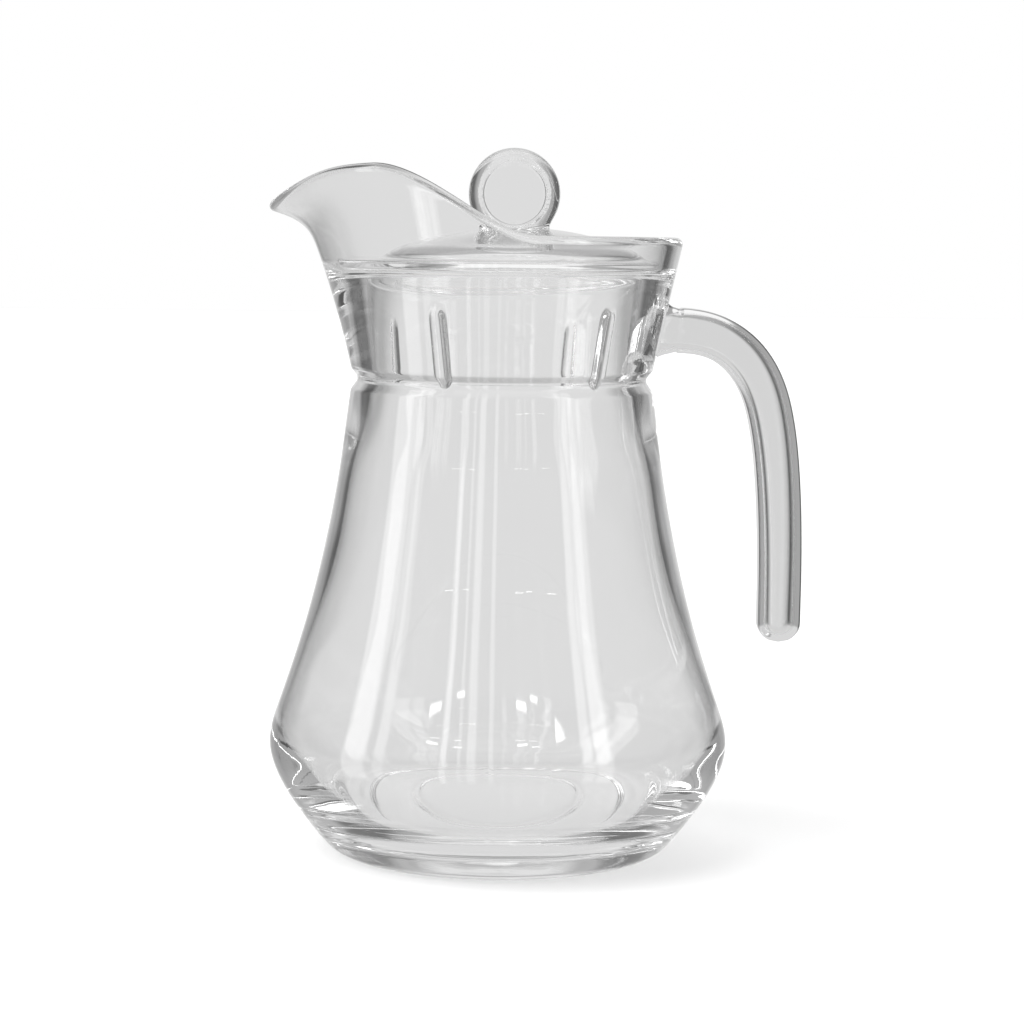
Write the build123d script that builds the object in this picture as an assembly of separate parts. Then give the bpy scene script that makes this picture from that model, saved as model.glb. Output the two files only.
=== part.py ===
"""Large glass water jug with an applied hook handle and a drop-in glass lid.

Millimetres. +Z is up and the jug stands on z = 0. The spout points to -X and the handle to +X.
The origin is the centre of the underside.
"""

import os
from math import atan2, cos, degrees, exp, hypot, radians, sin

from build123d import *

# Driving dimensions of the body
FOOT_RADIUS = 47.3  # outer edge of the flat ring that the jug stands on
FOOT_WIDTH = 5.0
RECESS_DEPTH = 1.4  # the underside is pushed up inside the foot ring
MARK_RING_RADIUS = 27.0  # fine moulded ring that stands out of the recessed underside
MARK_RING_WIDTH = 2.0
MARK_RING_RISE = 0.5
HEEL_RADIUS = 10.0
HEEL_ANGLE = 48.0  # slope of the wall where the heel's arc ends
BELLY_RADIUS = 71.9
BELLY_HEIGHT = 33.5
FLOOR_HEIGHT = 10.0  # inner floor
FLOOR_RADIUS = 42.0  # where the flat inner floor ends
SHOULDER_RADIUS = 47.1
SHOULDER_HEIGHT = 144.8
OUTER_WALL = [(61.7, 12.0), (69.2, 24.0), (BELLY_RADIUS, BELLY_HEIGHT), (69.2, 46.0), (61.4, 70.0),
              (54.7, 97.0), (49.6, 126.0), (SHOULDER_RADIUS, SHOULDER_HEIGHT)]
OUTER_END = (-0.16, 1)  # direction of the outer wall where it meets the groove
INNER_WALL = [(FLOOR_RADIUS, FLOOR_HEIGHT), (53.0, 13.2), (63.0, 23.0), (69.0, 36.5), (66.4, 48.0),
              (59.4, 68.5), (51.6, 93.5), (45.6, 126.0), (41.6, 140.5)]
GROOVE_RADIUS = 45.1
GROOVE_LOW = 147.6
GROOVE_HIGH = 149.0

# Driving dimensions of the collar
COLLAR_LOW = 151.3
COLLAR_RADIUS = 47.0  # at its lower edge
COLLAR_FLARE = 0.222  # growth of the radius per millimetre of height
COLLAR_LEAN = 0.00095  # the collar leans towards the spout with the square of its height
COLLAR_BORE = 40.36  # inner radius at its lower edge
SEAT_BORE = 43.0  # inner radius at the lid's seat
SEAT_HEIGHT = 182.0
SEAT_CLEARANCE = 0.6  # radial play round the lid
SEAT_MARGIN = 0.3  # the seat's outer corner is cut this much into the rim's wall
RIM_WALL = 4.4
BACK_RIM = 190.1  # where the outer wall ends and the rounded rim begins
SPOUT_RISE = 20.7
SPOUT_DIP = 11.3  # drop from the raised sides to the pouring tip
SPOUT_REACH = 9.3
SPOUT_ROOT = 182.0
SPOUT_SPREAD = 20.0  # degrees to either side over which the lip bends outwards
DIP_SPREAD = 27.0  # degrees to either side over which the rim dips
RISE_START = 101.0  # degrees from the spout's middle where the rim begins to rise
RISE_SPAN = 48.0
LIP_CURL = 6.0  # exponent: how late the lip bends outwards
TIP_WALL = 3.3
SECTION_STEP = 10  # degrees between the lofted sections
STEP = 0.05  # the collar stands this much proud of the neck that it joins
OVERLAP = 0.5  # the neck reaches this far up into the collar's wall
SLOPE_STEP = 0.01  # height over which the wall's slope is taken
WALL_STATIONS = (0, 0.35, 0.6, 0.75, 0.85, 0.93, 1)  # shares of the outer wall's height
SEAT_STATIONS = (0.35, 0.6, 0.8, 0.92, 1)  # shares of the height from the seat to the rim

# Ribs on the collar
RIB_TURNS = (68, 128, 240, 326)  # degrees from the spout, over the side that faces -Y
RIB_RADIUS = 2.6
RIB_DEPTH = 1.5  # how far the rib's own axis lies under the collar's surface
RIB_TOP = 166.4
RIB_TIP = 145.2
RIB_START = 150.8  # the straight part of a rib begins here, just under the collar

# Handle
HANDLE_WIDTH = 13.9  # seen from the side of the jug
HANDLE_BREADTH = 17.0  # across the palm
HANDLE_DROP = 66.5  # lowest point
HANDLE_CORNER = 5.5
HANDLE_ROOT = 44.0  # the rod starts inside the collar's wall
HANDLE_HEIGHT = 164.0  # centre line where it leaves the collar
HANDLE_REACH = 87.9  # the long grip's centre line
HANDLE_LINE = [(HANDLE_ROOT, HANDLE_HEIGHT), (56.0, HANDLE_HEIGHT), (66.0, 162.2), (74.6, 156.7),
               (80.6, 148.2), (84.6, 135.0), (86.9, 116.0), (HANDLE_REACH, 92.0),
               (HANDLE_REACH, HANDLE_DROP)]  # x and z from the collar to the free end
HANDLE_END_RADIUS = 4.6

# Lid
LID_FLANGE = 3.6
FLANGE_EDGE = 1.1  # rounding of the flange's rim
LID_WALL = 4.2
LID_GAP = 0.01
HOLLOW_RADIUS = 37.5
DOME_RADIUS = 39.5
DOME_FOOT = 42.5  # radius where the dome's fillet meets the flange
DOME_HEIGHT = 195.2
DOME_SHIFT = 4.2  # dome and knob stand off the flange's centre, away from the spout
LID_UNDER = SEAT_HEIGHT + LID_GAP
FLANGE_TOP = LID_UNDER + LID_FLANGE
DOME_LINE = [(DOME_FOOT, FLANGE_TOP), (DOME_RADIUS, FLANGE_TOP + 1.7), (31.6, 190.8), (21.3, 193.4),
             (11.0, 194.9), (0, DOME_HEIGHT)]
DOME_START = (-1, 0.1)  # direction in which the dome leaves the flange
HOLLOW_LINE = [(HOLLOW_RADIUS, LID_UNDER), (35.0, 184.7), (28.0, 187.3), (17.0, 189.7),
               (0, DOME_HEIGHT - LID_WALL)]
HOLLOW_START = (-0.3, 1)
KNOB_RADIUS = 14.2
KNOB_FLAT = 10.9  # radius of its two flat faces
KNOB_THICKNESS = 13.0
KNOB_CENTRE = 205.7
KNOB_FOOT = [(-2.7, 14.5, 11.0), (-0.9, 12.0, 7.4), (1.3, 10.6, 5.7), (4.3, 10.0, 5.0)]
# the foot's ellipses: height over the dome's top, half length along X, half breadth


def lean(z):
    """Distance that the collar's centre has moved towards the spout at height z."""
    return COLLAR_LEAN * (z - COLLAR_LOW) ** 2


def collar_radius(turn, z):
    """Outer radius of the plain collar, turn degrees from the spout."""
    return COLLAR_RADIUS + COLLAR_FLARE * (z - COLLAR_LOW) + lean(z) * (1 + cos(radians(turn)))


def beak(turn, spread):
    """1 in the middle of the spout, falling off smoothly to either side."""
    return exp(-((turn / spread) ** 2))


def wall_top(turn):
    """Height at which the outer wall ends, under the rounded rim."""
    part = min(max((RISE_START - abs(turn)) / RISE_SPAN, 0), 1)
    rise = SPOUT_RISE * part * part * (3 - 2 * part)
    return BACK_RIM + rise - SPOUT_DIP * beak(turn, DIP_SPREAD)


def wall_radius(turn, z):
    """Outer radius of the collar with its spout."""
    part = max(z - SPOUT_ROOT, 0) / (wall_top(turn) - SPOUT_ROOT)
    return collar_radius(turn, z) + SPOUT_REACH * beak(turn, SPOUT_SPREAD) * part**LIP_CURL


def wall_thickness(turn):
    return RIM_WALL + (TIP_WALL - RIM_WALL) * beak(turn, SPOUT_SPREAD)


def wall_point(turn, z, depth):
    """Point at a depth under the outer wall, as (radius, height)."""
    rise = wall_radius(turn, z + SLOPE_STEP) - wall_radius(turn, z - SLOPE_STEP)
    slope = rise / (2 * SLOPE_STEP)
    length = hypot(slope, 1)
    return (wall_radius(turn, z) - depth / length, z + depth * slope / length)


def turned(edges):
    """Solid of revolution about +Z from edges drawn as (radius, height)."""
    return revolve(make_face(Plane.XZ * Wire(edges)), Axis.Z)


def section_plane(turn):
    """Upright plane through the jug's axis: x runs outwards and y runs up."""
    outwards = Vector(-cos(radians(turn)), -sin(radians(turn)), 0)
    return Plane(origin=(0, 0, 0), x_dir=outwards, z_dir=outwards.cross(Vector(0, 0, 1)))


def seat_radius(turn):
    return collar_radius(turn, SEAT_HEIGHT) - RIM_WALL - SEAT_MARGIN


def collar_section(turn):
    """Closed outline of the collar's wall, with the lid's seat and the rounded rim."""
    top = wall_top(turn)
    thick = wall_thickness(turn)
    heights = [COLLAR_LOW + (top - COLLAR_LOW) * part for part in WALL_STATIONS]
    outer = [(wall_radius(turn, z), z) for z in heights]
    seat = (seat_radius(turn), SEAT_HEIGHT)
    rise = [SEAT_HEIGHT + (top - SEAT_HEIGHT) * part for part in SEAT_STATIONS]
    inner = [seat] + [wall_point(turn, z, thick) for z in rise]
    over = (wall_radius(turn, top) - wall_radius(turn, top - SLOPE_STEP)) / SLOPE_STEP
    middle = (Vector(*outer[-1]) + Vector(*inner[-1])) / 2
    crest = middle + Vector(over, 1).normalized() * (thick / 2)
    edges = [
        Line((COLLAR_BORE, COLLAR_LOW), (SEAT_BORE, SEAT_HEIGHT)),
        Line((SEAT_BORE, SEAT_HEIGHT), seat),
        Spline(*inner),
        ThreePointArc(inner[-1], crest, outer[-1]),
        Spline(*reversed(outer)),
        Line(outer[0], (COLLAR_BORE, COLLAR_LOW)),
    ]
    return section_plane(turn) * Wire(edges)


def collar():
    """Flared collar with the raised spout, lofted through upright sections round the axis."""
    wires = [collar_section(turn) for turn in range(-180, 180, SECTION_STEP)]
    wires.append(wires[0])
    return Solid.make_loft(wires)


def underside():
    """Edges from the axis to the outer edge of the foot ring."""
    foot_in = FOOT_RADIUS - FOOT_WIDTH
    corners = [
        (0, RECESS_DEPTH),
        (MARK_RING_RADIUS - MARK_RING_WIDTH / 2, RECESS_DEPTH),
        (MARK_RING_RADIUS, RECESS_DEPTH - MARK_RING_RISE),
        (MARK_RING_RADIUS + MARK_RING_WIDTH / 2, RECESS_DEPTH),
        (foot_in - RECESS_DEPTH, RECESS_DEPTH),
        (foot_in, 0),
        (FOOT_RADIUS, 0),
    ]
    return [Line(one, other) for one, other in zip(corners[:-1], corners[1:])]


def vessel():
    """Pear-shaped body with its thick floor, up to the groove under the collar."""
    heel = radians(HEEL_ANGLE)
    heel_middle = (FOOT_RADIUS + HEEL_RADIUS * sin(heel / 2), HEEL_RADIUS * (1 - cos(heel / 2)))
    heel_end = (FOOT_RADIUS + HEEL_RADIUS * sin(heel), HEEL_RADIUS * (1 - cos(heel)))
    outer = Spline(heel_end, *OUTER_WALL, tangents=[(cos(heel), sin(heel)), OUTER_END])
    inner = Spline(*INNER_WALL, (COLLAR_BORE + STEP, COLLAR_LOW), tangents=[(1, 0), (0, 1)])
    top = COLLAR_LOW + OVERLAP
    neck = [
        (SHOULDER_RADIUS, SHOULDER_HEIGHT),
        (GROOVE_RADIUS, GROOVE_LOW),
        (GROOVE_RADIUS, GROOVE_HIGH),
        (COLLAR_RADIUS - STEP, COLLAR_LOW),
        (COLLAR_RADIUS - STEP, top),
        (COLLAR_BORE + STEP, top),
        (COLLAR_BORE + STEP, COLLAR_LOW),
    ]
    return turned(
        underside()
        + [ThreePointArc((FOOT_RADIUS, 0), heel_middle, heel_end), outer]
        + [Line(one, other) for one, other in zip(neck[:-1], neck[1:])]
        + [
            inner,
            Line((FLOOR_RADIUS, FLOOR_HEIGHT), (0, FLOOR_HEIGHT)),
            Line((0, FLOOR_HEIGHT), (0, RECESS_DEPTH)),
        ]
    )


def rib(turn):
    """Half-round rib: domed top, straight flanks, and a pointed end on the shoulder."""
    tip = RIB_TIP - RIB_START
    straight = RIB_TOP - RIB_START
    crest = straight + RIB_RADIUS
    shoulder = RIB_RADIUS * sin(radians(45))
    bar = turned(
        [
            Line((0, tip), (RIB_RADIUS, 0)),
            Line((RIB_RADIUS, 0), (RIB_RADIUS, straight)),
            ThreePointArc((RIB_RADIUS, straight), (shoulder, straight + shoulder), (0, crest)),
            Line((0, crest), (0, tip)),
        ]
    )
    lift = wall_radius(turn, RIB_TOP) - wall_radius(turn, RIB_START)
    tilt = -degrees(atan2(lift, straight))
    outwards = Vector(-cos(radians(turn)), -sin(radians(turn)), 0)
    foot = outwards * (wall_radius(turn, RIB_START) - RIB_DEPTH) + Vector(0, 0, RIB_START)
    return Location(foot, (0, 0, turn)) * Location((0, 0, 0), (0, tilt, 0)) * bar


def ribbed_collar():
    ring = collar()
    for turn in RIB_TURNS:
        ring += rib(turn)
    return ring


def handle(ring):
    """Rod of glass that leaves the collar, turns down and ends free; the collar shapes its root."""
    path = Spline(*[(x, 0, z) for x, z in HANDLE_LINE], tangents=[(1, 0, 0), (0, 0, -1)])
    start = Plane(origin=path @ 0, x_dir=(0, 0, 1), z_dir=(1, 0, 0))
    section = start * RectangleRounded(HANDLE_WIDTH, HANDLE_BREADTH, HANDLE_CORNER)
    rod = sweep(section, path=path)
    end = rod.faces().sort_by(Axis.Z)[0]
    return fillet(end.edges(), HANDLE_END_RADIUS) - ring


def dome(radius, low, curve):
    """Solid under a domed curve that starts at the given radius and ends on the axis."""
    top = curve @ 1
    return turned(
        [
            curve,
            Line((top.X, top.Y), (0, low)),
            Line((0, low), (radius, low)),
            Line((radius, low), curve @ 0),
        ]
    )


def lid():
    """Flat flange that rests on the seat, with a low dome raised off its centre."""
    centre = Pos(DOME_SHIFT - lean(SEAT_HEIGHT), 0, 0)
    disc = Cylinder(
        seat_radius(90) - SEAT_CLEARANCE, LID_FLANGE, align=(Align.CENTER, Align.CENTER, Align.MIN)
    )
    flange = Pos(-lean(SEAT_HEIGHT), 0, LID_UNDER) * fillet(disc.edges(), FLANGE_EDGE)
    outer = Spline(*DOME_LINE, tangents=[DOME_START, (-1, 0)])
    inner = Spline(*HOLLOW_LINE, tangents=[HOLLOW_START, (-1, 0)])
    shell = flange + centre * dome(DOME_FOOT, FLANGE_TOP - LID_FLANGE / 2, outer)
    return shell - centre * dome(HOLLOW_RADIUS, LID_UNDER - LID_WALL, inner)


def lid_knob(cover):
    """Thick glass disc that stands on edge on a flared foot; the dome shapes its underside."""
    half = KNOB_THICKNESS / 2
    side = [
        Line((0, -half), (KNOB_FLAT, -half)),
        ThreePointArc((KNOB_FLAT, -half), (KNOB_RADIUS, 0), (KNOB_FLAT, half)),
        Line((KNOB_FLAT, half), (0, half)),
        Line((0, half), (0, -half)),
    ]
    disc = Pos(0, 0, KNOB_CENTRE) * Rot(90, 0, 0) * turned(side)
    foot = loft([Plane.XY.offset(DOME_HEIGHT + z) * Ellipse(a, b) for z, a, b in KNOB_FOOT])
    return Pos(DOME_SHIFT - lean(SEAT_HEIGHT), 0, 0) * (disc + foot) - cover


def main():
    ring = ribbed_collar()
    cover = lid()
    parts = {
        "jug_body": vessel() + ring,
        "handle": handle(ring),
        "lid": cover,
        "lid_knob": lid_knob(cover),
    }
    os.makedirs("parts", exist_ok=True)
    for name, part in parts.items():
        export_step(part, f"parts/{name}.step")


main()
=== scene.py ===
"""Looks of the large glass water jug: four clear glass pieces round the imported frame.

Profiles are drawn in millimetres as (radius, height) and turned into meshes in metres. "turn" is
the angle round the jug in degrees: 0 is the middle of the spout (-X), 180 the handle (+X).
"""

from math import cos, degrees, exp, hypot, pi, radians, sin

import bpy
import numpy as np
from mathutils import Matrix, Vector


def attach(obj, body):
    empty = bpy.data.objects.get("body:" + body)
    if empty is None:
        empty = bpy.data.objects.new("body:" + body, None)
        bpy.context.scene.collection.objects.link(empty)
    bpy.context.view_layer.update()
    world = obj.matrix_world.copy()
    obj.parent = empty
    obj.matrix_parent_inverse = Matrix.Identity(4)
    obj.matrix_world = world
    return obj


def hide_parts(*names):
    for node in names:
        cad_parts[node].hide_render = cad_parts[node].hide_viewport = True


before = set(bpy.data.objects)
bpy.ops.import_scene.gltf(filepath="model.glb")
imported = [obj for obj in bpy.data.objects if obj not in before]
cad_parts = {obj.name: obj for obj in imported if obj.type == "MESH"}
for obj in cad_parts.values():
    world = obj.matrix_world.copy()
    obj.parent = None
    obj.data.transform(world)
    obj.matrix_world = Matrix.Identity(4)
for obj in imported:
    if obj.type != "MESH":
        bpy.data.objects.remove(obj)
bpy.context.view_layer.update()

MM = 0.001

# Vessel
FOOT_RADIUS = 47.3
FOOT_WIDTH = 5.0
RECESS = 1.4
HEEL_RADIUS = 10.0
HEEL_ANGLE = 48.0
FLOOR_RADIUS = 42.0
FLOOR_HEIGHT = 10.0
MARK_RING_RADIUS = 27.0
MARK_RING_RISE = 0.45
MARK_RING_HALF = 1.1
SHOULDER = (47.1, 144.8)
OUTER_WALL = [(61.7, 12.0), (69.2, 24.0), (71.9, 33.5), (69.2, 46.0), (61.4, 70.0), (54.7, 97.0),
              (49.6, 126.0), SHOULDER]
OUTER_END = (-0.16, 1.0)  # direction of the outer wall where it meets the groove
INNER_WALL = [(42.0, 10.0), (53.0, 13.2), (63.0, 23.0), (69.0, 36.5), (66.4, 48.0), (59.4, 68.5),
              (51.6, 93.5), (45.6, 126.0), (41.6, 140.5)]
GROOVE_LOW = (45.1, 147.6)
GROOVE_HIGH = (45.1, 149.0)

# Collar
COLLAR_LOW = 151.3
COLLAR_RADIUS = 47.0
COLLAR_FLARE = 0.222
COLLAR_LEAN = 0.00095
COLLAR_BORE = 40.36
SEAT_BORE = 43.0
SEAT_HEIGHT = 182.0
RIM_WALL = 4.4
BACK_RIM = 190.1
SPOUT_RISE = 20.7
SPOUT_DIP = 11.3
SPOUT_REACH = 9.3
SPOUT_ROOT = 182.0
SPOUT_SPREAD = 20.0
DIP_SPREAD = 27.0
RISE_START = 101.0
RISE_SPAN = 48.0
LIP_CURL = 6.0
TIP_WALL = 3.3
SEAT_MARGIN = 0.3  # the seat's outer corner is cut this much into the rim's wall
SLOPE_STEP = 0.01  # height over which the wall's slope is taken
COLLAR_STEPS = 45  # points up the collar's outer wall

# Ribs, a little larger than the CAD's
RIB_TURNS = (68, 128, 240, 326)
RIB_RADIUS = 3.0
RIB_DEPTH = 1.5
RIB_TOP = 168.4
RIB_TIP = 145.2
RIB_LOW = 150.8
RIB_BLEND = 0.35

# Handle
HANDLE_HALF = (6.95, 8.5)  # half of its width in the side view, half of its breadth
HANDLE_ROOT_HEIGHT = 164.0
HANDLE_LINE = [(50.0, 164.0), (56.0, 164.0), (66.0, 162.2), (74.6, 156.7), (80.6, 148.2), (84.6, 135.0),
               (86.9, 116.0), (87.9, 92.0), (87.9, 66.5)]
HANDLE_TAPER = (0.25, 0.5)  # how much the two half sizes shrink towards the free end
HANDLE_CORNER = (3.6, 2.0)  # corner radius at the root, and its growth towards the free end
HANDLE_END_RADIUS = 6.2
WELD_LENGTH = 4.5
WELD_FLARE = 1.5
WELD_CORNER = 5.0
WELD_GROOVE = 0.35
WELD_GROOVE_HALF = 0.5
BEND_LENGTH = 14.0  # the handle's first stretch is bent on to the round collar over this length

# Lid and knob
FLANGE = 3.6
LID_GAP = 0.01
FLANGE_RADIUS = 49.41
FLANGE_EDGE = 1.1
DOME_FOOT = 42.5
DOME_TOP = 195.2
DOME_SHIFT = 4.2
LID_UNDER = SEAT_HEIGHT + LID_GAP
FLANGE_TOP = LID_UNDER + FLANGE
DOME_LINE = [(DOME_FOOT, FLANGE_TOP), (39.5, FLANGE_TOP + 1.7), (31.6, 190.8), (21.3, 193.4),
             (11.0, 194.9), (0, DOME_TOP)]
HOLLOW_RADIUS = 37.5
HOLLOW_LINE = [(HOLLOW_RADIUS, LID_UNDER), (35.0, 184.7), (28.0, 187.3), (17.0, 189.7), (0, 191.0)]
KNOB_CENTRE = 205.7
KNOB_HALF = 6.5
KNOB_ARC = (6.148, 8.052)  # centre radius and radius of the rim's arc
KNOB_GROOVE = (10.2, 0.15, 0.75)  # radius of the fine line pressed in each face, its offset and size
KNOB_HEART = 200.0  # height of the point that the knob's surface is cast from
FOOT_BASE = 192.5
FOOT_TOP = 199.5

# Camera, in metres and degrees
CAMERA_PLACE = (0.0, -0.860, 0.1922)
CAMERA_PITCH = -5.695
CAMERA_YAW = 0.244
CAMERA_ROLL = 0.675
CAMERA_LENS = 96.75


# ---------------------------------------------------------------- curves

def spline(points, start=None, end=None, step=1.2):
    """Smooth curve through points, parametrised by chord length, with optional end directions."""
    place = np.array(points, float)
    gap = np.linalg.norm(np.diff(place, axis=0), axis=1)
    count = len(place)
    system = np.zeros((count, count))
    right = np.zeros(place.shape)
    for i in range(1, count - 1):
        system[i, i - 1] = gap[i]
        system[i, i] = 2 * (gap[i - 1] + gap[i])
        system[i, i + 1] = gap[i - 1]
        right[i] = 3 * (
            gap[i] * (place[i] - place[i - 1]) / gap[i - 1]
            + gap[i - 1] * (place[i + 1] - place[i]) / gap[i]
        )
    for i, other, wanted in ((0, 1, start), (count - 1, count - 2, end)):
        system[i, i] = 1 if wanted else 2
        if wanted:
            right[i] = np.array(wanted) / np.linalg.norm(wanted)
        else:
            system[i, other] = 1
            right[i] = 3 * (place[max(i, other)] - place[min(i, other)]) / gap[min(i, other)]
    slope = np.linalg.solve(system, right)
    out = []
    for i in range(count - 1):
        pieces = max(2, int(round(gap[i] / step)))
        for t in np.arange(pieces) / pieces:
            a = (1 + 2 * t) * (1 - t) ** 2
            b = t * (1 - t) ** 2 * gap[i]
            c = t * t * (3 - 2 * t)
            d = t * t * (t - 1) * gap[i]
            out.append(a * place[i] + b * slope[i] + c * place[i + 1] + d * slope[i + 1])
    out.append(place[-1])
    return np.array(out)


def line(start, end, step=1.5):
    """Evenly spaced points from start to end."""
    start, end = np.array(start, float), np.array(end, float)
    count = max(2, int(round(np.linalg.norm(end - start) / step)) + 1)
    return start + (end - start) * np.linspace(0, 1, count)[:, None]


def rounded(corner, before, after, radius, count=5):
    """Small arc that takes the place of a corner between two neighbouring points."""
    corner = np.array(corner, float)
    back = np.array(before, float) - corner
    ahead = np.array(after, float) - corner
    back = back / np.linalg.norm(back)
    ahead = ahead / np.linalg.norm(ahead)
    t = np.linspace(0, 1, count)[:, None]
    first, last = corner + back * radius, corner + ahead * radius
    return (1 - t) ** 2 * first + 2 * t * (1 - t) * corner + t * t * last


def path_of(corners, radius=0.5, step=1.5):
    """Polyline through corners, all inner corners rounded."""
    out = [np.array([corners[0]], float)]
    for i in range(1, len(corners) - 1):
        out.append(rounded(corners[i], corners[i - 1], corners[i + 1], radius))
    out.append(np.array([corners[-1]], float))
    joined = [out[0]]
    for one, other in zip(out[:-1], out[1:]):
        joined.append(line(one[-1], other[0], step)[1:-1])
        joined.append(other)
    return np.concatenate([part for part in joined if len(part)])


# ---------------------------------------------------------------- collar surface

def lean(z):
    return COLLAR_LEAN * (z - COLLAR_LOW) ** 2


def collar_radius(turn, z):
    return COLLAR_RADIUS + COLLAR_FLARE * (z - COLLAR_LOW) + lean(z) * (1 + cos(radians(turn)))


def beak(turn, spread=SPOUT_SPREAD):
    return exp(-((turn / spread) ** 2))


def wall_top(turn):
    part = min(max((RISE_START - abs(turn)) / RISE_SPAN, 0), 1)
    return BACK_RIM + SPOUT_RISE * part * part * (3 - 2 * part) - SPOUT_DIP * beak(turn, DIP_SPREAD)


def wall_radius(turn, z):
    part = max(z - SPOUT_ROOT, 0) / (wall_top(turn) - SPOUT_ROOT)
    return collar_radius(turn, z) + SPOUT_REACH * beak(turn) * part**LIP_CURL


def wall_thickness(turn):
    return RIM_WALL + (TIP_WALL - RIM_WALL) * beak(turn)


def wall_point(turn, z, depth):
    slope = (wall_radius(turn, z + SLOPE_STEP) - wall_radius(turn, z - SLOPE_STEP)) / (2 * SLOPE_STEP)
    length = hypot(slope, 1)
    return (wall_radius(turn, z) - depth / length, z + depth * slope / length)


def seat_radius(turn):
    return collar_radius(turn, SEAT_HEIGHT) - RIM_WALL - SEAT_MARGIN


def smooth_max(a, b, blend):
    """Larger of two numbers, with a rounded change-over."""
    mix = min(max(0.5 + 0.5 * (a - b) / blend, 0), 1)
    return b + (a - b) * mix + blend * mix * (1 - mix)


def with_rib(turn, z, radius):
    """Outer radius with the nearest rib standing out of it."""
    away = min(((turn - rib + 180) % 360 - 180 for rib in RIB_TURNS), key=abs)
    if abs(away) > 5 or not RIB_TIP - 1 < z < RIB_TOP + RIB_RADIUS:
        return radius
    rib = turn - away
    low, high = wall_radius(rib, RIB_LOW), wall_radius(rib, RIB_TOP)
    axis = low - RIB_DEPTH + (high - low) * (z - RIB_LOW) / (RIB_TOP - RIB_LOW)
    if z < RIB_LOW:
        size = RIB_RADIUS * (z - RIB_TIP) / (RIB_LOW - RIB_TIP)
    elif z > RIB_TOP:
        size = (max(RIB_RADIUS**2 - (z - RIB_TOP) ** 2, 0)) ** 0.5
    else:
        size = RIB_RADIUS
    aside = axis * radians(away)
    if size <= abs(aside):
        return radius
    return max(radius, smooth_max(radius, axis + (size**2 - aside**2) ** 0.5, RIB_BLEND))


# ---------------------------------------------------------------- meshes

def build(name, rings, weld=None):
    """Closed mesh from rings of points in millimetres; a ring of one point is a pole."""
    points, starts = [], []
    for ring in rings:
        starts.append(len(points))
        points.extend(ring)
    faces = []
    for k in range(len(rings) - 1):
        a, b = starts[k], starts[k + 1]
        m, n = len(rings[k]), len(rings[k + 1])
        for i in range(max(m, n)):
            j = (i + 1) % max(m, n)
            if m == 1:
                faces.append((a, b + j, b + i))
            elif n == 1:
                faces.append((a + i, a + j, b))
            else:
                faces.append((a + i, a + j, b + j, b + i))
    mesh = bpy.data.meshes.new(name)
    mesh.from_pydata((np.array(points, float) * MM).tolist(), [], faces)
    mesh.polygons.foreach_set("use_smooth", [True] * len(mesh.polygons))
    if weld is not None:
        mark = mesh.attributes.new("weld", "FLOAT", "POINT")
        mark.data.foreach_set("value", np.array(weld, np.float32))
    mesh.validate()
    mesh.update()
    piece = bpy.data.objects.new(name, mesh)
    bpy.context.scene.collection.objects.link(piece)
    return piece


def ring_at(radius, z, turns, centre=0.0):
    """Circle of points at a height; its centre may lie off the axis along X."""
    if radius <= 1e-6:
        return [(centre, 0.0, z)]
    return [(centre - radius * cos(radians(t)), -radius * sin(radians(t)), z) for t in turns]


def vessel_outside():
    """Underside, heel and pear-shaped wall, up to the groove's upper edge."""
    heel = radians(HEEL_ANGLE)
    foot_in = FOOT_RADIUS - FOOT_WIDTH
    under = line((0, RECESS), (foot_in - RECESS, RECESS), 1.0)
    under[:, 1] -= MARK_RING_RISE * np.exp(-(((under[:, 0] - MARK_RING_RADIUS) / MARK_RING_HALF) ** 2))
    ring = path_of([under[-1], (foot_in, 0), (FOOT_RADIUS, 0)], 0.8)
    angles = np.linspace(0, heel, 10)
    arc = np.stack([FOOT_RADIUS + HEEL_RADIUS * np.sin(angles), HEEL_RADIUS * (1 - np.cos(angles))], 1)
    wall = spline([tuple(arc[-1])] + OUTER_WALL, start=(cos(heel), sin(heel)), end=OUTER_END, step=1.5)
    neck = path_of([wall[-3], SHOULDER, GROOVE_LOW, GROOVE_HIGH, (COLLAR_RADIUS, COLLAR_LOW)], 0.6, 0.8)
    return np.concatenate([under, ring[1:-1], arc, wall[1:-3], neck])


def vessel_inside():
    """Inner wall from the collar's bore down to the floor."""
    wall = spline(INNER_WALL + [(COLLAR_BORE, COLLAR_LOW)], start=(1, 0), end=(0, 1), step=1.5)
    floor = line((FLOOR_RADIUS, FLOOR_HEIGHT), (0, FLOOR_HEIGHT), 2.0)
    return np.concatenate([wall[::-1][1:-1], floor])


def collar_profile(turn):
    """Outer collar, rounded rim, inner wall, the lid's seat and the bore."""
    top = wall_top(turn)
    thick = wall_thickness(turn)
    heights = COLLAR_LOW + (top - COLLAR_LOW) * np.linspace(0, 1, COLLAR_STEPS + 1)[1:]
    outer = [(wall_radius(turn, z), z) for z in heights]
    depths = SEAT_HEIGHT + (top - SEAT_HEIGHT) * np.linspace(1, 0.1, 20)
    inner = [wall_point(turn, z, thick) for z in depths]
    middle = (np.array(outer[-1]) + np.array(inner[0])) / 2
    half = (np.array(outer[-1]) - np.array(inner[0])) / 2
    over = np.array([-half[1], half[0]])
    rim = [middle + half * cos(a) + over * sin(a) for a in np.linspace(0, pi, 13)[1:-1]]
    seat = (seat_radius(turn), SEAT_HEIGHT)
    edge = (SEAT_BORE, SEAT_HEIGHT)
    bore = (COLLAR_BORE, COLLAR_LOW)
    step = path_of([inner[-1], seat, edge, bore], 0.7, 1.2)
    return np.concatenate([outer, rim, inner[:-1], step])


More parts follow.
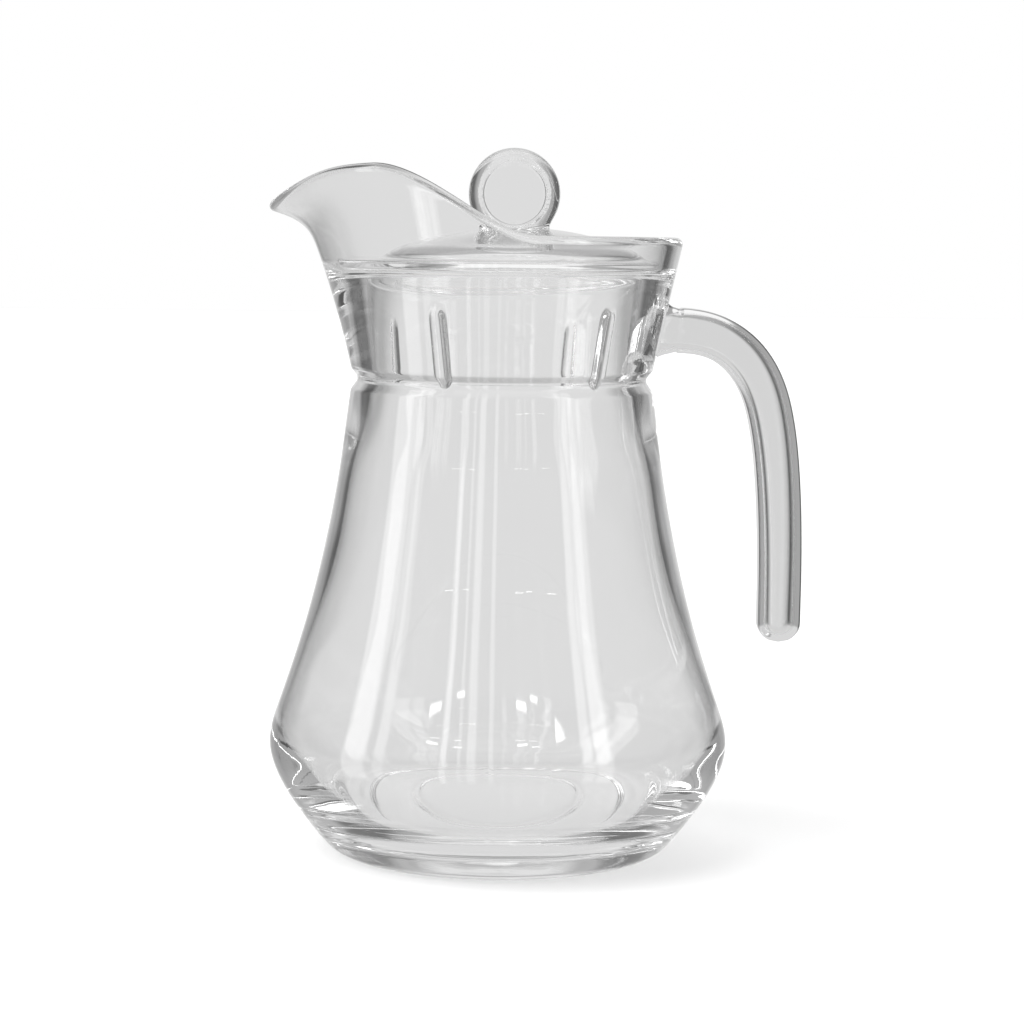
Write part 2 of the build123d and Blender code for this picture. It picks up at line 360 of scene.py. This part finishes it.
def waviness(turn, z):
    """Uneven inner wall of pressed glass: soft upright waves that drift with height."""
    a = radians(turn)
    return (
        0.030 * sin(9 * a + 0.012 * z + 1.0)
        + 0.014 * sin(19 * a - 0.010 * z + 2.2)
        + 0.020 * sin(5 * a + 0.03 * z)
    )


def body_turns():
    """Directions round the jug: even steps, and finer ones over the ribs."""
    turns = set(np.round(np.arange(-180, 180, 1.25), 3))
    for rib in RIB_TURNS:
        centre = (rib + 180) % 360 - 180
        turns = {t for t in turns if abs(t - centre) > 4.6}
        turns |= set(np.round(centre + np.arange(-4.5, 4.6, 0.3), 3))
    return sorted(turns)


def rounded_box(x, y, half_x, half_y, corner):
    """Distance outside a rounded rectangle, negative inside."""
    dx, dy = abs(x) - half_x + corner, abs(y) - half_y + corner
    return hypot(max(dx, 0), max(dy, 0)) + min(max(dx, dy), 0) - corner


def make_body():
    turns = body_turns()
    outside, inside = vessel_outside(), vessel_inside()
    columns = []
    for turn in turns:
        profile = np.concatenate([outside, collar_profile(turn), inside])
        shaped = profile.copy()
        last_outer = len(outside) + COLLAR_STEPS
        for i in range(last_outer):
            shaped[i, 0] = with_rib(turn, profile[i, 1], profile[i, 0])
        first_inner = len(profile) - len(inside)
        for i in range(first_inner, len(profile)):
            r, z = profile[i]
            fade = min(max((r - FLOOR_RADIUS) / 8, 0), 1) if z < 60 else min((COLLAR_LOW - z) / 12, 1)
            shaped[i, 0] = r + fade * waviness(turn, z)
        columns.append(shaped)
    count = len(columns[0])
    rings, weld = [], []
    for i in range(count):
        if columns[0][i][0] <= 1e-6:
            rings.append([(0.0, 0.0, columns[0][i][1])])
            weld.append(-1.0)
            continue
        ring = []
        for turn, column in zip(turns, columns):
            r, z = column[i]
            x, y = -r * cos(radians(turn)), -r * sin(radians(turn))
            ring.append((x, y, z))
            near = x > 40 and i < len(outside) + COLLAR_STEPS
            half = (HANDLE_HALF[0] + WELD_FLARE, HANDLE_HALF[1] + WELD_FLARE)
            weld.append(-rounded_box(z - HANDLE_ROOT_HEIGHT, y, *half, WELD_CORNER) if near else -1.0)
        rings.append(ring)
    return build("jug_body_glass", rings, weld)


def handle_section(half_x, half_y, corner, count=56):
    """Rounded rectangle as (along the bend, across) offsets."""
    out = []
    per_side = count // 4
    for quarter in range(4):
        sx, sy = ((1, 1), (-1, 1), (-1, -1), (1, -1))[quarter]
        cx, cy = sx * (half_x - corner), sy * (half_y - corner)
        for k in range(per_side):
            a = radians(90 * quarter + 90 * k / (per_side - 1))
            out.append((cx + corner * cos(a), cy + corner * sin(a)))
    return out


def make_handle():
    """Rod of glass with a flared, welded root and a rounded free end."""
    line_points = spline(HANDLE_LINE, start=(1, 0), end=(0, -1), step=0.7)
    along = np.gradient(line_points, axis=0)
    along /= np.linalg.norm(along, axis=1)[:, None]
    travel = np.concatenate([[0], np.cumsum(np.linalg.norm(np.diff(line_points, axis=0), axis=1))])
    total = travel[-1]
    rings, weld = [], []
    for k, s in enumerate(travel):
        share = s / total
        corner = HANDLE_CORNER[0] + HANDLE_CORNER[1] * share
        half_x = HANDLE_HALF[0] - HANDLE_TAPER[0] * share
        half_y = HANDLE_HALF[1] - HANDLE_TAPER[1] * share
        flare = WELD_FLARE * max(1 - s / WELD_LENGTH, 0) ** 2
        groove = WELD_GROOVE * exp(-(((s - WELD_LENGTH) / WELD_GROOVE_HALF) ** 2))
        grow = flare - groove
        left = total - s
        if left < HANDLE_END_RADIUS:
            grow -= HANDLE_END_RADIUS - (HANDLE_END_RADIUS**2 - (HANDLE_END_RADIUS - left) ** 2) ** 0.5
        half_x, half_y = half_x + grow, half_y + grow
        corner = min(corner + max(flare, 0), half_x * 0.98, half_y * 0.98)
        tx, tz = along[k]
        ring = []
        for u, v in handle_section(half_x, half_y, max(corner, 0.01)):
            x = line_points[k][0] - u * tz
            z = line_points[k][1] + u * tx
            ring.append((x, v, z))
        if s < BEND_LENGTH:
            ring = [(to_collar(x, y, z, s), y, z) for x, y, z in ring]
        rings.append(ring)
        weld += [1.0 if k == 0 else -1.0] * len(ring)
    root = rings[0]
    middle = HANDLE_ROOT_HEIGHT
    caps = []
    for share in (0.05, 0.35, 0.65, 0.9):
        shrunk = [(y * share, middle + (z - middle) * share) for _, y, z in root]
        caps.append([(collar_x(y, z), y, z) for y, z in shrunk])
    centre = np.mean(np.array(rings[-1]), axis=0)
    rings = [[(collar_x(0.0, middle), 0.0, middle)]] + caps + rings + [[tuple(centre)]]
    weld = [1.0] * (1 + len(root) * len(caps)) + weld + [-1.0]
    return build("handle_glass", rings, weld)


def collar_x(y, z):
    """X of the collar's outer surface behind the handle."""
    r = collar_radius(180, z)
    return (r * r - y * y) ** 0.5


def to_collar(x, y, z, s):
    """Bends the handle's first sections on to the round collar."""
    fade = max(1 - s / BEND_LENGTH, 0) ** 2
    return x + fade * (collar_x(y, z) - HANDLE_LINE[0][0])


def make_lid():
    """Flange that lies on the seat, dome raised off its centre, hollow underneath."""
    flange_x = -lean(SEAT_HEIGHT)
    dome_x = DOME_SHIFT + flange_x
    turns = np.arange(0, 360, 1.5)
    dome = dome_curve()
    hollow = spline(HOLLOW_LINE, start=(-0.3, 1), end=(-1, 0), step=1.0)
    rings, weld = [], []

    def add(points, centre_at):
        for r, z in points:
            ring = ring_at(r, z, turns, centre_at(r, z))
            rings.append(ring)
            for x, y, _ in ring:
                weld.append(-float(foot_distance(x - dome_x, y, z)) if z > 192 else -1.0)

    def drift(r, _):
        return flange_x + (dome_x - flange_x) * min(max((FLANGE_RADIUS - 1 - r) / 5.0, 0), 1)

    add(hollow[::-1][:-1], lambda r, z: dome_x)
    edge = [(FLANGE_RADIUS, LID_UNDER), (FLANGE_RADIUS, FLANGE_TOP)]
    rim = path_of([HOLLOW_LINE[0]] + edge + [DOME_LINE[0]], FLANGE_EDGE, 1.0)
    start_corner = rounded(HOLLOW_LINE[0], hollow[2], (40, LID_UNDER), 0.8)
    add(start_corner, lambda r, z: dome_x)
    add(rim[3:-1], drift)
    add(dome, lambda r, z: dome_x)
    return build("lid_glass", rings, weld)


def dome_curve():
    return spline(DOME_LINE, start=(-1, 0.1), end=(-1, 0), step=1.0)


DOME = dome_curve()[::-1]


def dome_height(x, y):
    return np.interp(np.hypot(x, y), DOME[:, 0], DOME[:, 1])


def foot_distance(x, y, z):
    """Distance outside the knob's flared foot at a height, negative inside."""
    a = 9.6 + 4.9 * np.exp(-(z - FOOT_BASE) / 2.0)
    b = 4.8 + 6.2 * np.exp(-(z - FOOT_BASE) / 1.7)
    return (np.hypot(x / a, y / b) - 1) * np.minimum(a, b)


def soft_max(a, b, blend):
    """Larger of two arrays, with a rounded change-over."""
    mix = np.clip(0.5 + 0.5 * (a - b) / blend, 0, 1)
    return b + (a - b) * mix + blend * mix * (1 - mix)


def knob_distance(x, y, z):
    """Distance outside the disc and its foot, joined by a soft fillet."""
    rho = np.hypot(x, z - KNOB_CENTRE)
    rim = np.hypot(np.maximum(rho - KNOB_ARC[0], 0), y) - KNOB_ARC[1]
    disc = soft_max(np.abs(y) - KNOB_HALF, rim, 0.2)
    groove = np.hypot(rho - KNOB_GROOVE[0], np.abs(y) - KNOB_HALF - KNOB_GROOVE[1]) - KNOB_GROOVE[2]
    disc = soft_max(disc, -groove, 0.15)
    foot = soft_max(foot_distance(x, y, np.maximum(z, 192.0)), z - FOOT_TOP, 1.5)
    return -soft_max(-disc, -foot, 1.6)


def make_knob():
    """Disc on edge with its foot, cast as rays from a point inside it; the dome cuts its underside."""
    dome_x = DOME_SHIFT - lean(SEAT_HEIGHT)
    turns = np.radians(np.arange(0, 360, 1.0))
    rings, weld = [], []
    for tilt in np.radians(np.linspace(180, 0, 221)):
        around = turns if 1e-6 < sin(tilt) else turns[:1]
        ray = np.stack([sin(tilt) * np.cos(around), sin(tilt) * np.sin(around), cos(tilt) + 0 * around])
        near, far = np.full(len(around), 0.5), np.full(len(around), 24.0)
        for _ in range(30):
            reach = (near + far) / 2
            x, y, z = reach * ray[0], reach * ray[1], KNOB_HEART + reach * ray[2]
            inside = np.maximum(knob_distance(x, y, z), dome_height(x, y) - z) < 0
            near, far = np.where(inside, reach, near), np.where(inside, far, reach)
        rings.append(np.stack([dome_x + x, y, z], 1).tolist())
        weld += list(0.2 - 10 * (z - dome_height(x, y)))
    return build("lid_knob_glass", rings, weld)


# ---------------------------------------------------------------- node helpers

class Field:
    """A number computed by shader nodes, with ordinary arithmetic."""

    def __init__(self, tree, socket):
        self.tree = tree
        self.socket = socket

    def math(self, operation, *others):
        node = self.tree.nodes.new("ShaderNodeMath")
        node.operation = operation
        self.tree.links.new(self.socket, node.inputs[0])
        for slot, other in enumerate(others, 1):
            if isinstance(other, Field):
                self.tree.links.new(other.socket, node.inputs[slot])
            else:
                node.inputs[slot].default_value = other
        return Field(self.tree, node.outputs[0])

    def __add__(self, other):
        return self.math("ADD", other)

    def __sub__(self, other):
        return self.math("SUBTRACT", other)

    def __mul__(self, other):
        return self.math("MULTIPLY", other)

    def smooth(self, low, high):
        """0 below low, 1 above high, smooth in between."""
        node = self.tree.nodes.new("ShaderNodeMapRange")
        node.interpolation_type = "SMOOTHSTEP"
        self.tree.links.new(self.socket, node.inputs["Value"])
        node.inputs["From Min"].default_value = low
        node.inputs["From Max"].default_value = high
        return Field(self.tree, node.outputs["Result"])

    def window(self, centre, half, soft):
        """1 within half of the centre, fading to 0 over soft."""
        return ((self - centre).math("ABSOLUTE").smooth(half - soft, half + soft) * -1) + 1


def mix_shader(tree, share, first, second):
    node = tree.nodes.new("ShaderNodeMixShader")
    if isinstance(share, Field):
        tree.links.new(share.socket, node.inputs[0])
    else:
        tree.links.new(share, node.inputs[0])
    tree.links.new(first, node.inputs[1])
    tree.links.new(second, node.inputs[2])
    return node.outputs[0]


def new_material(name):
    material = bpy.data.materials.new(name)
    material.use_nodes = True
    tree = material.node_tree
    tree.nodes.clear()
    return material, tree


def glass(name, tint, wave_size, wave_height, rough_root, streak=0.25):
    """Clear glass: faint waves and drawn streaks, and see-through where two pieces are fused."""
    material, tree = new_material(name)
    nodes, links = tree.nodes, tree.links
    where = nodes.new("ShaderNodeTexCoord")
    stretch = nodes.new("ShaderNodeMapping")
    stretch.inputs["Scale"].default_value = (1, 1, streak)
    links.new(where.outputs["Object"], stretch.inputs["Vector"])
    noise = nodes.new("ShaderNodeTexNoise")
    noise.inputs["Scale"].default_value = 1 / wave_size
    noise.inputs["Detail"].default_value = 1.5
    links.new(stretch.outputs["Vector"], noise.inputs["Vector"])
    bump = nodes.new("ShaderNodeBump")
    bump.inputs["Strength"].default_value = 1.0
    bump.inputs["Distance"].default_value = wave_height
    links.new(noise.outputs["Fac"], bump.inputs["Height"])
    ripple = nodes.new("ShaderNodeTexNoise")
    ripple.inputs["Scale"].default_value = 260
    ripple.inputs["Detail"].default_value = 1.0
    links.new(where.outputs["Object"], ripple.inputs["Vector"])
    reach = nodes.new("ShaderNodeVectorMath")
    reach.operation = "DISTANCE"
    reach.inputs[1].default_value = (0.050, 0, HANDLE_ROOT_HEIGHT * MM)
    links.new(where.outputs["Object"], reach.inputs[0])
    close = (Field(tree, reach.outputs["Value"]).smooth(0.008, 0.016) * -1 + 1) * rough_root
    pull = nodes.new("ShaderNodeBump")
    pull.inputs["Distance"].default_value = 0.0009
    links.new(close.socket, pull.inputs["Strength"])
    links.new(ripple.outputs["Fac"], pull.inputs["Height"])
    links.new(bump.outputs["Normal"], pull.inputs["Normal"])
    tone = nodes.new("ShaderNodeMix")
    tone.data_type = "RGBA"
    tone.inputs["A"].default_value = (*tint, 1)
    tone.inputs["B"].default_value = (*[min(c * 1.01, 1) for c in tint], 1)
    links.new(noise.outputs["Fac"], tone.inputs["Factor"])
    clear = nodes.new("ShaderNodeBsdfGlass")
    clear.inputs["IOR"].default_value = 1.5
    clear.inputs["Roughness"].default_value = 0.0
    links.new(tone.outputs["Result"], clear.inputs["Color"])
    links.new(pull.outputs["Normal"], clear.inputs["Normal"])
    through = nodes.new("ShaderNodeBsdfTransparent")
    edge = nodes.new("ShaderNodeLayerWeight")
    edge.inputs["Blend"].default_value = 0.35
    veil = nodes.new("ShaderNodeMix")
    veil.data_type = "RGBA"
    veil.inputs["A"].default_value = (0.95, 0.95, 0.95, 1)
    veil.inputs["B"].default_value = (0.64, 0.64, 0.64, 1)
    links.new(edge.outputs["Facing"], veil.inputs["Factor"])
    shade = nodes.new("ShaderNodeBsdfTransparent")
    links.new(veil.outputs["Result"], shade.inputs["Color"])
    path = nodes.new("ShaderNodeLightPath")
    diffuse = Field(tree, path.outputs["Is Diffuse Ray"])
    cheap = Field(tree, path.outputs["Is Shadow Ray"]).math("MAXIMUM", diffuse)
    looks = mix_shader(tree, cheap, clear.outputs[0], shade.outputs[0])
    mark = nodes.new("ShaderNodeAttribute")
    mark.attribute_name = "weld"
    fused = Field(tree, mark.outputs["Fac"]).math("GREATER_THAN", 0.0)
    trapped = Field(tree, path.outputs["Ray Depth"]).math("GREATER_THAN", DEPTH_LIMIT)
    surface = mix_shader(tree, fused.math("MAXIMUM", trapped), looks, through.outputs[0])
    output = nodes.new("ShaderNodeOutputMaterial")
    links.new(surface, output.inputs["Surface"])
    return material


DEPTH_LIMIT = 8.5  # light that has bounced more often than this leaves the glass straight on


# ---------------------------------------------------------------- studio

SOFTBOXES = [
    # azimuth, half width, elevation, half height, edge softness, brightness; 0 is straight ahead
    (-104, 7, 20, 46, 1.5, 2.6),
    (-119, 3, 20, 46, 1.0, 1.6),
    (-153, 1.6, 18, 40, 0.8, 2.4),
    (-161, 0.8, 18, 40, 0.5, 1.2),
    (-167, 2.2, 18, 40, 0.8, 1.5),
    (-177, 1.2, 18, 40, 0.6, 1.2),
    (134, 3, 20, 44, 1.2, 1.8),
    (125, 4.5, 20, 44, 1.5, 2.4),
]
LAMPS = [
    # azimuth, elevation, half width in degrees; they glint in two rows on the front of the belly
    (-147, 21.1, 2.8),
    (-160, 20.8, 2.0),
    (167, 21.2, 2.8),
    (160, 20.7, 1.8),
    (147, 21.0, 2.4),
]
LAMP_GLOW = 12.0
LAMP_HEIGHT = 0.15  # half height of a lamp in degrees
LAMP_EDGE = 0.1
BACKDROP = 0.76
SURROUND = 0.40
SHADE = 0.30  # how much the strip next to the backdrop is darker than the surround
CEILING = 1.0
FLOOR_GLOW = 0.72


def make_world():
    """Studio that turns with the camera: backdrop ahead, dim sides, soft boxes and lamps behind."""
    world = bpy.data.worlds.new("studio")
    bpy.context.scene.world = world
    world.use_nodes = True
    tree = world.node_tree
    tree.nodes.clear()
    where = tree.nodes.new("ShaderNodeTexCoord")
    turned = tree.nodes.new("ShaderNodeVectorTransform")
    turned.vector_type = "VECTOR"
    turned.convert_from = "WORLD"
    turned.convert_to = "CAMERA"
    tree.links.new(where.outputs["Generated"], turned.inputs[0])
    unit = tree.nodes.new("ShaderNodeVectorMath")
    unit.operation = "NORMALIZE"
    tree.links.new(turned.outputs[0], unit.inputs[0])
    parts = tree.nodes.new("ShaderNodeSeparateXYZ")
    tree.links.new(unit.outputs[0], parts.inputs[0])
    right, up, ahead = (Field(tree, parts.outputs[i]) for i in range(3))
    azimuth = right.math("ARCTAN2", ahead) * degrees(1)
    elevation = up.math("ARCSINE") * degrees(1)
    front = azimuth.window(0, 17, 6) * elevation.window(-5, 32, 12)
    strip = azimuth.math("ABSOLUTE").window(41, 12, 5) * elevation.window(14, 30, 8)
    light = (front * (BACKDROP - SURROUND)) + SURROUND + (strip * -SHADE)
    for turn, half, height, tall, soft, bright in SOFTBOXES:
        light = light + azimuth.window(turn, half, soft) * elevation.window(height, tall, 8) * bright
    for turn, height, half in LAMPS:
        spot = azimuth.window(turn, half, LAMP_EDGE) * elevation.window(height, LAMP_HEIGHT, LAMP_EDGE)
        light = light + spot * LAMP_GLOW
    above = elevation.smooth(52, 60)
    below = (elevation * -1).smooth(14, 24)
    light = light * ((above * -1) + 1) + above * CEILING
    light = light * ((below * -1) + 1) + below * FLOOR_GLOW
    path = tree.nodes.new("ShaderNodeLightPath")
    seen = Field(tree, path.outputs["Is Camera Ray"])
    light = light * ((seen * -1) + 1) + seen
    glow = tree.nodes.new("ShaderNodeBackground")
    tree.links.new(light.socket, glow.inputs["Strength"])
    glow.inputs["Color"].default_value = (1, 1, 1, 1)
    output = tree.nodes.new("ShaderNodeOutputWorld")
    tree.links.new(glow.outputs[0], output.inputs[0])


def make_floor():
    """Plain pale floor, seen directly only: light that comes through the glass passes it."""
    mesh = bpy.data.meshes.new("floor")
    far = 6.0
    mesh.from_pydata([(-far, -far, 0), (far, -far, 0), (far, far, 0), (-far, far, 0)], [], [(0, 1, 2, 3)])
    floor = bpy.data.objects.new("floor", mesh)
    bpy.context.scene.collection.objects.link(floor)
    floor.location = (0, 0, -0.0002)
    material, tree = new_material("floor_paint")
    path = tree.nodes.new("ShaderNodeLightPath")
    white = tree.nodes.new("ShaderNodeBsdfDiffuse")
    white.inputs["Color"].default_value = (0.9, 0.9, 0.9, 1)
    clear = tree.nodes.new("ShaderNodeBsdfTransparent")
    surface = mix_shader(tree, path.outputs["Is Camera Ray"], clear.outputs[0], white.outputs[0])
    output = tree.nodes.new("ShaderNodeOutputMaterial")
    tree.links.new(surface, output.inputs["Surface"])
    mesh.materials.append(material)


def make_sun():
    """Broad soft key from the upper left, seen by the floor only."""
    key = bpy.data.lights.new("key", "SUN")
    key.energy = 2.6
    key.angle = radians(50)
    lamp = bpy.data.objects.new("key", key)
    bpy.context.scene.collection.objects.link(lamp)
    lamp.rotation_euler = (radians(18), radians(-38), 0)
    lamp.visible_glossy = False
    lamp.visible_transmission = False


def make_camera():
    pitch, yaw, roll = radians(CAMERA_PITCH), radians(CAMERA_YAW), radians(CAMERA_ROLL)
    ahead = Vector((sin(yaw) * cos(pitch), cos(yaw) * cos(pitch), sin(pitch)))
    flat = ahead.cross(Vector((0, 0, 1))).normalized()
    upright = flat.cross(ahead)
    right = flat * cos(roll) + upright * sin(roll)
    up = upright * cos(roll) - flat * sin(roll)
    camera = bpy.data.cameras.new("camera")
    camera.lens = CAMERA_LENS
    camera.sensor_width = 36
    view = bpy.data.objects.new("camera", camera)
    bpy.context.scene.collection.objects.link(view)
    turned = Matrix((right, up, -ahead)).transposed()
    view.matrix_world = Matrix.Translation(CAMERA_PLACE) @ turned.to_4x4()
    bpy.context.scene.camera = view


def main():
    pieces = [
        (make_body(), "jug_body", "jug", "body_glass", 0.992, 0.028, 0.00012, 0.6),
        (make_handle(), "handle", "jug", "handle_glass", 0.94, 0.020, 0.00006, 0.5),
        (make_lid(), "lid", "lid_set", "lid_glass", 0.992, 0.018, 0.00005, 0.0),
        (make_knob(), "lid_knob", "lid_set", "knob_glass", 0.985, 0.012, 0.00003, 0.0),
    ]
    for piece, node, body, slot, clarity, wave_size, wave_height, rough_root in pieces:
        tint = (clarity, clarity, clarity)
        piece.data.materials.append(glass(slot, tint, wave_size, wave_height, rough_root))
        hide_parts(node)
        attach(piece, body)
    make_world()
    make_floor()
    make_sun()
    make_camera()
    scene = bpy.context.scene
    scene.view_settings.view_transform = "Standard"
    scene.cycles.max_bounces = 24
    scene.cycles.transmission_bounces = 24
    scene.cycles.glossy_bounces = 12
    scene.cycles.transparent_max_bounces = 24
    scene.cycles.caustics_refractive = False
    scene.cycles.caustics_reflective = False


main()
